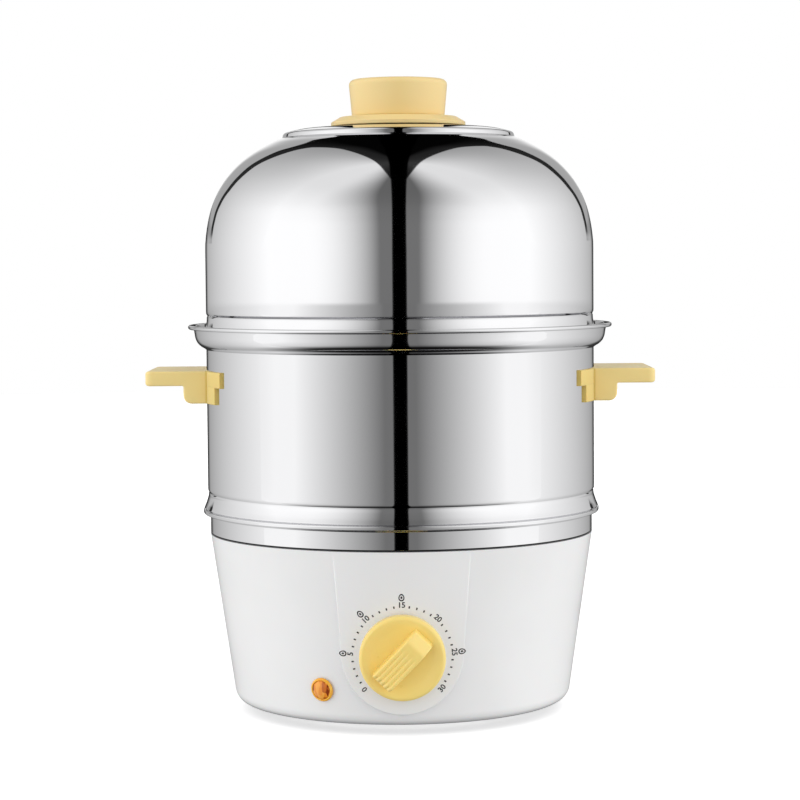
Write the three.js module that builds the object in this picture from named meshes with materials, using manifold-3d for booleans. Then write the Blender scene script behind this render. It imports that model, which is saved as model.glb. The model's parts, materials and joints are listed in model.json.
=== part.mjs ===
// Two-tier electric egg cooker: a plastic base with a timer dial, a steel steam pan,
// a steel tier with two side handles, an egg rack in each level, a steam tray and a domed lid.
// Millimetres, +Z up. The origin is on the vertical axis at the level the feet stand on,
// the dial faces -Y and the handles point along +X and -X.
import * as THREE from 'three';
import { mergeVertices } from 'three/addons/utils/BufferGeometryUtils.js';
import Module from 'manifold-3d';

const wasm = await Module();
wasm.setup();

// Driving dimensions
const deg = Math.PI / 180;
const gap = 0.3; // clearance between pieces that touch
const sheet = 0.8; // steel sheet thickness
const roundSides = 32; // sides of the large turned pieces
const smallSides = 12; // sides of rods, screws and holes

const housing = { bottomZ: 3.5, topZ: 80, topR: 86.3, taper: 8.3, corner: 6, wall: 2.5 };
const collar = { outerR: 84.8, innerR: 82.4, topZ: 85 }; // upstand that carries the pan
const ledge = { z0: 55.6, z1: 58, innerR: 71 }; // ring the heat shield pulls up against
const cover = { radius: 61, z0: 4.2, z1: 6.2 }; // plate that closes the bottom
const panel = { topZ: 79.9, taper: 5, topHalf: 29.2, arcR: 26.4, arcZ: 35.6 };
const dial = { y: -82.9, z: 35, knobR: 18.3, seatR: 17.6, gripTurn: 46, gripTop: 11.4 };
const lamp = { turn: -26.2, z: 19, flangeR: 5.2 };
const gland = { y: 79.2, z: 22, boreR: 3.6 };
const foot = { ring: 42, radius: 8, height: 3.9 };
const coverScrew = { ring: 52, bossR: 4, bossTop: 24, holeR: 1.8 };

const pan = { floorZ: 73, bandR: 86.2, beadR: 89.3, lipZ: 93 };
const heater = { plateR: 45, ringR: 34, tubeR: 3.3, ringZ: 65, openAngle: 25 };
const shield = { z: 54.3, radius: 76 };
const studs = { ring: 56, radius: 2 };

const tier = { bottomZ: 91.3, creaseZ: 98.2, wallR: 87.3, collarZ: 162.6, lipR: 95.4, topZ: 173.3 };
const handle = { tipX: 113, stepX: 96.1, halfY: 25, z0: 139, z1: 146.9, z2: 153.4, padR: 89.6 };
const handleScrew = { y: 12, z: 145 };
const rack = { radius: 79.8, thick: 2.5, legs: 12.7, socketR: 19.5, socketRing: 50, legRing: 64 };
const tray = { flangeZ: 165, floorZ: 157, rimR: 88.3, wallR: 85.4 };

const lid = { bottomZ: 166.2, creaseZ: 177.4, wallR: 87.3, wallTopZ: 210, crownZ: 261.6 };
const knobBase = { z0: 261.9, z1: 266, lowR: 30.2, topR: 26 };
const lidKnob = { z0: 266.3, z1: 282.8, lowR: 20.8, topR: 22.3, edge: 2.8 };

// Materials
const finish = {
  steel: { color: 0xc9cacb, roughness: 0.12, metalness: 1 },
  zinc: { color: 0xa9abae, roughness: 0.35, metalness: 1 },
  cast: { color: 0xb4b6b8, roughness: 0.5, metalness: 1 },
  white: { color: 0xe9e9e9, roughness: 0.4, metalness: 0 },
  cream: { color: 0xe6cd8e, roughness: 0.42, metalness: 0 },
  dial: { color: 0xe6c060, roughness: 0.3, metalness: 0 },
  amber: { color: 0xd0761c, roughness: 0.15, metalness: 0 },
  glass: { color: 0xe8ecee, roughness: 0.05, metalness: 0 },
  rubber: { color: 0xd8d8d6, roughness: 0.8, metalness: 0 },
  dark: { color: 0x2c2d30, roughness: 0.5, metalness: 0 },
  wire: { color: 0x8c3b2e, roughness: 0.5, metalness: 0 },
};

// Helpers
// A closed solid from any closed geometry: shared vertices merged, flat triangles
// dropped, and turned right side out.
function solidOf(geometry) {
  const bare = new THREE.BufferGeometry();
  bare.setAttribute('position', geometry.getAttribute('position').clone());
  if (geometry.index) bare.setIndex(geometry.index.clone());
  const merged = mergeVertices(bare, 1e-4);
  const points = new Float32Array(merged.getAttribute('position').array);
  const index = Array.from(merged.index.array);
  const triangles = [];
  let volume = 0;
  for (let i = 0; i < index.length; i += 3) {
    const [a, b, c] = index.slice(i, i + 3);
    if (a === b || b === c || c === a) continue;
    triangles.push([a, b, c]);
    const [p, q, r] = [a, b, c].map((k) => new THREE.Vector3().fromArray(points, 3 * k));
    volume += p.dot(q.cross(r));
  }
  const outward = volume > 0 ? triangles : triangles.map(([a, b, c]) => [a, c, b]);
  return new wasm.Manifold(new wasm.Mesh({
    numProp: 3, vertProperties: points, triVerts: new Uint32Array(outward.flat()),
  }));
}

function geometryOf(solid) {
  const mesh = solid.getMesh();
  const geometry = new THREE.BufferGeometry();
  geometry.setAttribute('position', new THREE.BufferAttribute(mesh.vertProperties, 3));
  geometry.setIndex(new THREE.BufferAttribute(mesh.triVerts, 1));
  return geometry;
}

function combine(how, first, others) {
  let solid = solidOf(first);
  for (const other of others) solid = solid[how](solidOf(other));
  return geometryOf(solid);
}

const join = (first, ...others) => combine('add', first, others);
const cut = (first, ...others) => combine('subtract', first, others);
const common = (first, ...others) => combine('intersect', first, others);

// Profile of [radius, height] points turned about the vertical axis.
function turned(profile, sides = roundSides) {
  const points = profile.map(([radius, height]) => new THREE.Vector2(radius, height));
  return new THREE.LatheGeometry(points, sides).rotateX(90 * deg);
}

const rod = (radius, z0, z1, sides = smallSides) =>
  turned([[0, z0], [radius, z0], [radius, z1], [0, z1]], sides);

const ring = (innerR, outerR, z0, z1, sides = smallSides) =>
  turned([[innerR, z0], [outerR, z0], [outerR, z1], [innerR, z1], [innerR, z0]], sides);

const block = (x0, x1, y0, y1, z0, z1) =>
  new THREE.BoxGeometry(x1 - x0, y1 - y0, z1 - z0)
    .translate((x0 + x1) / 2, (y0 + y1) / 2, (z0 + z1) / 2);

// Points along an arc, angles in degrees.
function arc(centreR, centreZ, radius, from, to, steps) {
  return Array.from({ length: steps + 1 }, (_, i) => {
    const angle = (from + ((to - from) * i) / steps) * deg;
    return [centreR + radius * Math.cos(angle), centreZ + radius * Math.sin(angle)];
  });
}

// Flat outline in the XY plane, given a depth along +Z.
function plate(outline, depth) {
  const shape = new THREE.Shape(outline.map(([x, y]) => new THREE.Vector2(x, y)));
  return new THREE.ExtrudeGeometry(shape, { depth, bevelEnabled: false });
}

// Flat outline drawn in the XZ plane, given a depth along Y, from y0 to y1.
function sidePlate(outline, y0, y1) {
  return plate(outline, y1 - y0).rotateX(90 * deg).translate(0, y1, 0);
}

// Round tube along a smooth curve through the points.
function tube(points, radius, steps = 12, sides = 6) {
  const path = new THREE.CatmullRomCurve3(points.map((p) => new THREE.Vector3(...p)));
  return tubeAlong(path, radius, steps, sides);
}

function tubeAlong(path, radius, steps, sides) {
  const outline = arc(0, 0, radius, 0, 360 - 360 / sides, sides - 1);
  const shape = new THREE.Shape(outline.map(([x, y]) => new THREE.Vector2(x, y)));
  return new THREE.ExtrudeGeometry(shape, { extrudePath: path, steps });
}

// A frame on the base wall: its z axis points outwards, turned from -Y about the
// vertical axis and tipped downwards.
function facing(turn, tip, x, y, z) {
  return new THREE.Matrix4()
    .makeTranslation(x, y, z)
    .multiply(new THREE.Matrix4().makeRotationZ(turn * deg))
    .multiply(new THREE.Matrix4().makeRotationX((90 + tip) * deg));
}

const around = (count, start = 0) =>
  Array.from({ length: count }, (_, i) => start + (360 * i) / count);

const polar = (radius, angle) => [radius * Math.cos(angle * deg), radius * Math.sin(angle * deg)];

const cooker = new THREE.Group();

function add(name, geometry, look, matrix) {
  const material = new THREE.MeshStandardMaterial(finish[look]);
  const mesh = new THREE.Mesh(geometryOf(solidOf(geometry)), material);
  mesh.name = name;
  if (matrix) mesh.applyMatrix4(matrix);
  cooker.add(mesh);
}

const placed = (geometry, matrix) => geometry.applyMatrix4(matrix);

// Base housing
const wallSlope = Math.tan(housing.taper * deg);
const wallR = (z) => housing.topR - (housing.topZ - z) * wallSlope;
const dialFrame = facing(0, panel.taper, 0, dial.y, dial.z);
const lampR = wallR(lamp.z);
const lampFrame = facing(lamp.turn, housing.taper,
  lampR * Math.sin(lamp.turn * deg), -lampR * Math.cos(lamp.turn * deg), lamp.z);
const glandFrame = facing(180, 0, 0, gland.y, gland.z);
const timerScrewX = 10.5;

// The bottom corner arc touches both the flat bottom and the tapered wall.
function housingProfile(inset) {
  const cornerZ = housing.bottomZ + housing.corner;
  const rise = housing.topZ - cornerZ;
  const cos = Math.cos(housing.taper * deg);
  const cornerR = housing.topR - (housing.corner + rise * Math.sin(housing.taper * deg)) / cos;
  return arc(cornerR, cornerZ, housing.corner - inset, -90, -housing.taper, 4);
}

function baseHousing() {
  const { topZ, topR, wall, bottomZ } = housing;
  const openingR = cover.radius + gap;
  const outer = turned([
    [0, bottomZ], ...housingProfile(0), [topR, topZ],
    [collar.outerR, topZ], [collar.outerR, collar.topZ], [0, collar.topZ],
  ]);
  const innerTop = topZ - 3;
  const cavity = turned([
    [0, 0], [openingR, 0], [openingR, bottomZ + wall], ...housingProfile(wall),
    [wallR(innerTop) - wall, innerTop], [collar.innerR, topZ - 1], [collar.innerR, topZ + 9],
    [0, topZ + 9],
  ]);
  const panelR = (z) => topR - 0.05 - (topZ - z) * Math.tan(panel.taper * deg);
  const raised = turned([[0, 5], [panelR(5), 5], [panelR(panel.topZ), panel.topZ], [0, panel.topZ]]);
  const outline = sidePlate([
    [-panel.topHalf, topZ], ...arc(0, panel.arcZ, panel.arcR, 180, 360, 10), [panel.topHalf, topZ],
  ], -100, -60);
  const seat = placed(rod(dial.seatR, -6, 0, 20), dialFrame);
  const glandBoss = placed(rod(9.5, -5, 0), glandFrame);
  const shell = cut(join(outer, common(raised, outline), seat, glandBoss), cavity);

  const ledgeRing = ring(ledge.innerR, wallR(ledge.z0) - 1.2, ledge.z0, ledge.z1, roundSides);
  const bosses = around(4, 45).map((angle) => {
    const [x, y] = polar(coverScrew.ring, angle);
    const post = rod(coverScrew.bossR, cover.z1 + gap, coverScrew.bossTop, 12).translate(x, y, 0);
    const rib = block(coverScrew.ring + 2, 75.7, -1, 1, 8.5, coverScrew.bossTop).rotateZ(angle * deg);
    return join(post, rib);
  });
  const screwHoles = around(4, 45).map((angle) =>
    rod(coverScrew.holeR, 5, 18, 10).translate(...polar(coverScrew.ring, angle), 0));
  const timerHoles = [-timerScrewX, timerScrewX].map((x) =>
    placed(rod(1.7, -12, 5, 10).translate(x, 0, 0), dialFrame));
  return cut(
    join(shell, ledgeRing, ...bosses),
    placed(rod(20, -12, -3, 20), dialFrame), // flat seat for the timer
    placed(rod(4.2, -12, 5), dialFrame), // shaft hole
    ...timerHoles,
    placed(rod(4.4, -8, 5), lampFrame),
    placed(rod(6.3, -12, 5), glandFrame),
    ...screwHoles,
  );
}

add('base_housing', baseHousing(), 'white');

// Bottom cover and feet
function bottomCover() {
  const { radius, z0, z1 } = cover;
  const slots = around(8, 22.5).map((angle) =>
    block(16, 38, -1.6, 1.6, z0 - 1, z1 + 1).rotateZ(angle * deg));
  const holes = around(4, 45).map((angle) =>
    rod(coverScrew.holeR, z0 - 1, z1 + 1, 10).translate(...polar(coverScrew.ring, angle), 0));
  return cut(rod(radius, z0, z1, roundSides), ...slots, ...holes);
}

add('bottom_cover', bottomCover(), 'white');
around(4, 0).forEach((angle, i) => {
  const [x, y] = polar(foot.ring, angle);
  const { radius, height } = foot;
  const profile = [[0, 0], [radius - 1, 0], [radius, 1], [radius, height], [0, height]];
  add(`foot_${i + 1}`, turned(profile, 20).translate(x, y, 0), 'rubber');
});
around(4, 45).forEach((angle, i) => {
  const [x, y] = polar(coverScrew.ring, angle);
  const top = cover.z0 - gap;
  const profile = [
    [0, top - 1.5], [2.4, top - 1.5], [3.2, top - 0.7], [3.2, top], [1.4, top], [1.4, 16], [0, 16.8],
  ];
  add(`cover_screw_${i + 1}`, turned(profile, 12).translate(x, y, 0), 'zinc');
});

// Steam pan and its seal
const dishR = collar.innerR - 0.5; // outside of the dish, inside the housing collar
add('heating_pan', turned([
  [0, pan.floorZ], [68, pan.floorZ], [74, pan.floorZ + 1.5], [79, pan.floorZ + 6],
  [dishR - 1, pan.floorZ + 10], [dishR - 1, 88.6], [84.8, 88.9],
  [84.9, pan.lipZ], [85.8, pan.lipZ], [86.1, 91.2], [88.2, 91], [pan.beadR, 90.1],
  [88.6, 88.7], [pan.bandR, 88.3], [pan.bandR, housing.topZ + gap],
  [85.2, housing.topZ + gap], [85.2, 87.7], [dishR, 87.7], [dishR, pan.floorZ + 9.8],
  [79.6, pan.floorZ + 5], [74.2, pan.floorZ + 0.4], [68, pan.floorZ - 1], [0, pan.floorZ - 1],
]), 'steel');
add('pan_gasket', ring(collar.innerR, collar.outerR, collar.topZ + gap, 87.4, roundSides), 'rubber');

// Heater under the pan
const plateTop = pan.floorZ - 1 - gap;
const plateLow = plateTop - 3.1;
add('heater_plate', rod(heater.plateR, plateLow, plateTop, 32), 'cast');

const elementEnds = [heater.openAngle, -heater.openAngle].map((angle) => polar(heater.ringR, angle));

function heatingElement() {
  const sweep = around(24).map((_, i) => heater.openAngle + ((360 - 2 * heater.openAngle) * i) / 23);
  const path = new THREE.CatmullRomCurve3(
    sweep.map((angle) => new THREE.Vector3(...polar(heater.ringR, angle), heater.ringZ)));
  const coil = tubeAlong(path, heater.tubeR, 22, 8);
  const pins = elementEnds.map(([x, y]) => rod(2.2, 47, heater.ringZ + 1, 10).translate(x, y, 0));
  return join(coil, ...pins);
}

add('heating_element', heatingElement(), 'cast');

function thermostat() {
  const can = turned([[0, 60], [6.5, 60], [6.5, 63], [8, 63], [8, plateLow - gap], [0, plateLow - gap]], 20);
  return join(can, ...[-4, 4].map((x) => block(x - 0.4, x + 0.4, -2.5, 2.5, 56, 61)));
}

add('thermostat', thermostat(), 'cast');
add('thermal_fuse', rod(2.2, -11, 11, 12).rotateY(90 * deg).translate(0, 18, plateLow - gap - 2.3), 'zinc');

const studAngles = around(3, 90);
function heatShield() {
  const disc = turned([
    [0, shield.z], [shield.radius, shield.z], [shield.radius, shield.z + sheet], [0, shield.z + sheet],
  ]);
  const holes = [
    ...studAngles.map((angle) => rod(2.4, 50, 60, 10).translate(...polar(studs.ring, angle), 0)),
    ...elementEnds.map(([x, y]) => rod(4.5, 50, 60, 12).translate(x, y, 0)),
    rod(12, 50, 60, 20),
  ];
  return cut(disc, ...holes);
}

add('heat_shield', heatShield(), 'zinc');
studAngles.forEach((angle, i) => {
  const [x, y] = polar(studs.ring, angle);
  add(`pan_stud_${i + 1}`, rod(studs.radius, 48.5, pan.floorZ - 1 - gap, 12).translate(x, y, 0), 'zinc');
  const nutTop = shield.z - gap;
  const nut = cut(rod(4.2, nutTop - 3.2, nutTop, 6), rod(2.4, 40, 60, 12));
  add(`pan_nut_${i + 1}`, nut.translate(x, y, 0), 'zinc');
});

// Timer and its dial
const caseFront = -3 - gap;
const caseBack = caseFront - 20;
const shaftR = 3;

function timerCase() {
  const shell = rod(14.5, caseBack, caseFront, 24);
  const holes = [-timerScrewX, timerScrewX].map((x) => rod(1.7, -9, 0, 10).translate(x, 0, 0));
  return cut(shell, rod(shaftR + 0.4, -12, 0), ...holes);
}

add('timer_case', timerCase(), 'dark', dialFrame);
add('timer_bell', turned([
  [0, caseBack - 5.4], [5, caseBack - 5], [10, caseBack - 3], [12, caseBack - gap],
  [11.1, caseBack - gap], [9.4, caseBack - 2.4], [4.8, caseBack - 4.2], [0, caseBack - 4.6],
], 20), 'zinc', dialFrame);
[-timerScrewX, timerScrewX].forEach((x, i) => {
  const profile = [[0, -8], [1.3, -7.4], [1.3, gap], [2.8, gap], [2.8, 1.5], [0, 1.9]];
  add(`timer_screw_${i + 1}`, turned(profile, 12).translate(x, 0, 0), 'zinc', dialFrame);
});

function timerShaft() {
  return cut(rod(shaftR, -11.6, 9), block(-4, 4, 2, 5, 0, 10));
}

add('timer_shaft', timerShaft(), 'zinc', dialFrame);

// A shallow dished disc with a raised grip bar across it, hollow behind.
function timerKnob() {
  const r = dial.knobR;
  const back = gap + 0.1;
  const disc = turned([
    [0, back], [r, back], [r, 4.4], [r - 0.8, 5.3], [r - 1.8, 5.3], [r - 3.4, 4.6], [0, 4.6],
  ], 32);
  const grip = sidePlate([
    [-13.6, 3.5], [-13.4, 9.2], [-11.8, dial.gripTop], [9.2, dial.gripTop], [13.2, 8], [13.6, 3.5],
  ], -5, 5).rotateZ(dial.gripTurn * deg);
  return cut(join(disc, grip), ring(5.4, 15.8, 0, 3), rod(shaftR + 0.35, 0, 9.4));
}

add('timer_knob', timerKnob(), 'dial', dialFrame);

// Indicator lamp
add('lamp_lens', turned([
  [0, 2.6], [2.6, 2.3], [4.3, 1.5], [lamp.flangeR, 0.4], [4, 0.4],
  [4, -13], [2.8, -13], [2.8, 0.2], [0, 0.8],
], smallSides), 'amber', lampFrame);
add('lamp_neon', turned([
  [0, -12], [2.2, -11.4], [2.2, -2], [1.2, -0.8], [0, -0.5],
], smallSides), 'glass', lampFrame);
add('lamp_clip', ring(4.3, 6.8, -4.6, -3.3), 'dark', lampFrame);

// Supply side at the back
add('cord_gland', turned([
  [gland.boreR, -9], [6, -9], [6, gap], [8.4, gap], [8.4, 1.6], [7.4, 2.4],
  [gland.boreR, 2.4], [gland.boreR, -9],
], smallSides), 'dark', glandFrame);
add('terminal_block', join(
  block(-14, 14, 36, 48, 8, 17),
  ...[-9, 0, 9].map((x) => block(x - 3.6, x + 3.6, 37, 47, 16, 21))), 'white');

const leads = {
  timer_lead: [[-9, 42, 22.6], [-13, 34, 32], [-24, 6, 30], [-26, -34, 33], [-22, -58, 36], [-16.2, -68, 36]],
  thermostat_lead: [[16.2, -68, 36], [22, -56, 38], [21, -24, 44], [9, -4, 47], [4, 0, 54.6]],
  element_lead: [
    [-4, 0, 54.6], [-5, -2, 49], [8, -14, 41], [24, -18, 40], [...elementEnds[1], 45.7],
  ],
  return_lead: [[...elementEnds[0], 45.7], [31, 19, 38], [24, 34, 28], [9, 42, 22.6]],
  lamp_lead: [[-27, -54.5, 21.2], [-24, -44, 21], [-20, -10, 15], [-13, 20, 20], [-3, 38, 24], [0, 42, 22.6]],
};
for (const [name, points] of Object.entries(leads)) add(name, tube(points, 1.1), 'wire');

// Steel tier and its handles
// The lid and the tier end in the same flared skirt below a pressed crease.
const skirt = (bottomR, bottomZ, creaseZ, wall) => [
  [bottomR, bottomZ], [wall + (bottomR - wall) * 0.45, bottomZ + (creaseZ - bottomZ) * 0.35],
  [wall - 0.2, bottomZ + (creaseZ - bottomZ) * 0.75], [wall - 0.6, creaseZ], [wall, creaseZ + 1.4],
];

function steelTier() {
  const outside = [
    ...skirt(88.9, tier.bottomZ, tier.creaseZ, tier.wallR),
    [tier.wallR, tier.collarZ], [89.6, 163.9], [91.7, 166], [92.5, 168.6], [92.9, 171.2],
    [tier.lipR - 0.3, 171.5], [tier.lipR, 172.4], [tier.lipR - 0.3, tier.topZ],
  ];
  const inside = [
    [92.1, tier.topZ], [91.7, 168.8], [91, 166.6], [89.2, 164.7], [tier.wallR - sheet, 163.5],
    ...skirt(88.9, tier.bottomZ, tier.creaseZ, tier.wallR).reverse().map(([r, z]) => [r - sheet, z]),
  ];
  const wall = turned([...outside, ...inside, outside[0]]);
  const holes = [-1, 1].flatMap((side) => [-1, 1].map((end) =>
    rod(2, 80, 92, 10).rotateY(90 * side * deg).translate(0, end * handleScrew.y, handleScrew.z)));
  return cut(wall, ...holes);
}

add('steel_tier', steelTier(), 'steel');

// The handle pointing along +X: a stepped block with a curved pad that hugs the wall.
function handleShape() {
  const { tipX, stepX, halfY, z0, z1, z2, padR } = handle;
  const innerR = tier.wallR + gap;
  const profile = sidePlate([
    [70, z0], ...arc(stepX - 3.5, z0 + 3.5, 3.5, -90, 0, 4), [stepX, z1],
    ...arc(tipX - 1.2, z1 + 1.2, 1.2, -90, 0, 2), ...arc(tipX - 1.2, z2 - 1.2, 1.2, 0, 90, 2), [70, z2],
  ], -halfY, halfY);
  const tipCorner = 3;
  const plan = plate([
    [60, -halfY], ...arc(tipX - tipCorner, -halfY + tipCorner, tipCorner, -90, 0, 4),
    ...arc(tipX - tipCorner, halfY - tipCorner, tipCorner, 0, 90, 4), [60, halfY],
  ], 20).translate(0, 0, z0 - 2);
  const wedge = (halfAngle) => plate([
    [0, 0], polar(120, -halfAngle), [120, 0], polar(120, halfAngle),
  ], 30).translate(0, 0, z0 - 5);
  const padTop = common(ring(innerR, padR, z1 - 0.6, z2, roundSides), wedge(27.7));
  const padLow = common(ring(innerR, padR, z0, z1, roundSides), wedge(24));
  const bores = [-1, 1].map((end) =>
    rod(2, 80, 93.4, 10).rotateY(90 * deg).translate(0, end * handleScrew.y, handleScrew.z));
  return cut(join(common(profile, plan), padTop, padLow), rod(innerR, z0 - 1, z2 + 1, roundSides), ...bores);
}

add('right_handle', handleShape(), 'cream');
add('left_handle', handleShape().rotateZ(180 * deg), 'cream');
for (const [side, turn] of [['right', 0], ['left', 180]]) {
  [-1, 1].forEach((end, i) => {
    const profile = [
      [0, 81.6], [2.4, 81.6], [3.2, 82.6], [3.2, 84.6], [1.5, 84.6], [1.5, 92.6], [0, 93],
    ];
    const screw = turned(profile, 12).rotateY(90 * deg)
      .translate(0, end * handleScrew.y, handleScrew.z).rotateZ(turn * deg);
    add(`${side}_handle_screw_${i + 1}`, screw, 'zinc');
  });
}

// Egg racks and steam tray
// A round plate with a socket for each egg, one in the middle and six around it, on six legs.
function eggRack() {
  const top = rack.legs + rack.thick;
  const legs = around(6, 30).map((angle) =>
    rod(3.5, 0, rack.legs + 1, 8).translate(...polar(rack.legRing, angle), 0));
  const sockets = [[0, 0], ...around(6, 0).map((angle) => polar(rack.socketRing, angle))];
  const collars = sockets.map(([x, y]) =>
    rod(rack.socketR + 2, rack.legs - 3, top, 16).translate(x, y, 0));
  const holes = sockets.map(([x, y]) => rod(rack.socketR, -1, top + 1, 16).translate(x, y, 0));
  return cut(join(rod(rack.radius, rack.legs, top, roundSides), ...legs, ...collars), ...holes);
}

add('lower_egg_rack', eggRack().translate(0, 0, pan.floorZ + gap), 'cream');
add('upper_egg_rack', eggRack().translate(0, 0, tray.floorZ + sheet + gap), 'cream');

function steamTray() {
  const { flangeZ, floorZ, rimR, wallR: outerR } = tray;
  const dish = turned([
    [0, floorZ], [outerR - 3, floorZ], [outerR, floorZ + 3], [outerR, flangeZ], [rimR, flangeZ],
    [rimR, flangeZ + sheet], [outerR - sheet, flangeZ + sheet], [outerR - sheet, floorZ + 3.2],
    [outerR - 3.2, floorZ + sheet], [0, floorZ + sheet],
  ]);
  const spots = [[0, 0], ...around(6).map((a) => polar(26, a)), ...around(12).map((a) => polar(52, a))];
  return cut(dish, ...spots.map(([x, y]) => rod(2.6, floorZ - 1, floorZ + 2, 8).translate(x, y, 0)));
}

add('steam_tray', steamTray(), 'steel');

// Lid and its knob
function lidShell() {
  const crown = [
    [86, 220], [83.2, 229.5], [78.4, 238], [71, 246.2], [63, 251.9], [53.2, 257.2], [51.6, 258.8],
    [46, 260.5], [30, lid.crownZ],
  ];
  const outside = [...skirt(89.4, lid.bottomZ, lid.creaseZ, lid.wallR), [lid.wallR, lid.wallTopZ], ...crown];
  // The inside follows the outside one sheet thickness in, level across the crown.
  const inside = [
    [29.8, lid.crownZ - sheet], [45.8, 259.7], [50.6, 257.6], [62.4, 251.2], [77.5, 237.6],
    [85, 220], [lid.wallR - sheet, lid.wallTopZ],
    ...skirt(89.4, lid.bottomZ, lid.creaseZ, lid.wallR).reverse().map(([r, z]) => [r - sheet, z]),
  ];
  const shell = turned([[0, lid.crownZ - sheet], ...inside, ...outside, [0, lid.crownZ]]);
  return cut(shell, rod(2.4, 250, 270, 12));
}

add('lid_shell', lidShell(), 'steel');
add('knob_base', cut(turned([
  [0, knobBase.z0], [knobBase.lowR, knobBase.z0], [knobBase.lowR, knobBase.z0 + 1.8],
  [knobBase.topR, knobBase.z1], [0, knobBase.z1],
], 32), rod(2.4, 250, 270, 12)), 'cream');

function lidKnobShape() {
  const { z0, z1, lowR, topR, edge } = lidKnob;
  const body = turned([
    [0, z0], [lowR, z0], ...arc(topR - edge, z1 - edge, edge, 0, 90, 4), [0, z1],
  ], 32);
  return cut(body, rod(2.4, z0 - 1, 277, 12));
}

add('lid_knob', lidKnobShape(), 'cream');
const washerTop = lid.crownZ - sheet - gap;
add('knob_washer', ring(2.4, 8, washerTop - 1.2, washerTop), 'zinc');
const headTop = washerTop - 1.2 - gap;
add('knob_screw', turned([
  [0, headTop - 2.6], [3, headTop - 2.6], [4, headTop - 1.4], [4, headTop],
  [2, headTop], [2, 276], [0, 276.6],
], 12), 'zinc');

export default cooker;
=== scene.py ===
import json
import math
import bmesh
import bpy
import numpy as np
from mathutils import Matrix, Vector


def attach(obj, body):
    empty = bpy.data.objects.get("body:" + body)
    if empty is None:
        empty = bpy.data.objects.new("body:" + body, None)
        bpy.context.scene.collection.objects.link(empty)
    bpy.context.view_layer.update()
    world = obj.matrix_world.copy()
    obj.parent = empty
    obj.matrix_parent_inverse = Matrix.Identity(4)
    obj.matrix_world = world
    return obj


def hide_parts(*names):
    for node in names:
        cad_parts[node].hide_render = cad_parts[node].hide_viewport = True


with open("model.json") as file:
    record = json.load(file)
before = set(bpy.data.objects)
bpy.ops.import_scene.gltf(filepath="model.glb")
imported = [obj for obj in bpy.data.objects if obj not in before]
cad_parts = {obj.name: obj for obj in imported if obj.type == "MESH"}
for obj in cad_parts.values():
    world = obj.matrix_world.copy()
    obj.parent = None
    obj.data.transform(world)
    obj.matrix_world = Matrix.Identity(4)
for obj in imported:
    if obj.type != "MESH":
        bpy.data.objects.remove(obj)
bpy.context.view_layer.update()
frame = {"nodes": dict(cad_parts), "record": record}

# Two-tier egg cooker. Shapes are worked out in millimetres and scaled to metres in the mesh.
mm = 0.001
scene = bpy.context.scene


def say(text):
    print("egg cooker:", text)


def newObject(name, verts, faces, uv=None):
    # verts in mm, faces as one (n, 4) or (n, 3) array of corner numbers
    mesh = bpy.data.meshes.new(name)
    verts = np.asarray(verts, dtype=np.float64).reshape(-1, 3) * mm
    faces = np.asarray(faces, dtype=np.int32)
    corners = faces.shape[1]
    mesh.vertices.add(len(verts))
    mesh.vertices.foreach_set("co", verts.ravel().astype(np.float32))
    mesh.loops.add(faces.size)
    mesh.loops.foreach_set("vertex_index", faces.ravel())
    mesh.polygons.add(len(faces))
    mesh.polygons.foreach_set("loop_start", np.arange(0, faces.size, corners, dtype=np.int32))
    mesh.update(calc_edges=True)
    if uv is not None:
        layer = mesh.uv_layers.new(name="surface")
        layer.data.foreach_set("uv", np.asarray(uv)[faces.ravel()].ravel().astype(np.float32))
    obj = bpy.data.objects.new(name, mesh)
    scene.collection.objects.link(obj)
    return obj


def closeUp(obj, sharpDeg=40.0):
    # weld seams and poles, turn the faces outwards by the sign of the volume, then smooth
    work = bmesh.new()
    work.from_mesh(obj.data)
    bmesh.ops.remove_doubles(work, verts=work.verts, dist=2e-7)
    bmesh.ops.dissolve_degenerate(work, edges=work.edges, dist=1e-8)
    if work.calc_volume(signed=True) < 0:
        bmesh.ops.reverse_faces(work, faces=work.faces)
    work.to_mesh(obj.data)
    work.free()
    obj.data.shade_smooth()
    obj.data.set_sharp_from_angle(angle=math.radians(sharpDeg))
    return obj


def gridFaces(rows, cols, wrapRows=False, wrapCols=False):
    # quads between neighbouring points of a rows by cols grid
    r = np.arange(rows if wrapRows else rows - 1)
    c = np.arange(cols if wrapCols else cols - 1)
    a, b = np.meshgrid(r, c, indexing="ij")
    a2, b2 = (a + 1) % rows, (b + 1) % cols
    quad = np.stack([a * cols + b, a * cols + b2, a2 * cols + b2, a2 * cols + b], axis=-1)
    return quad.reshape(-1, 4)


def gridObject(name, points, wrapRows=False, wrapCols=False, sharpDeg=40.0):
    rows, cols = points.shape[:2]
    obj = newObject(name, points, gridFaces(rows, cols, wrapRows, wrapCols))
    return closeUp(obj, sharpDeg)


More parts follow.
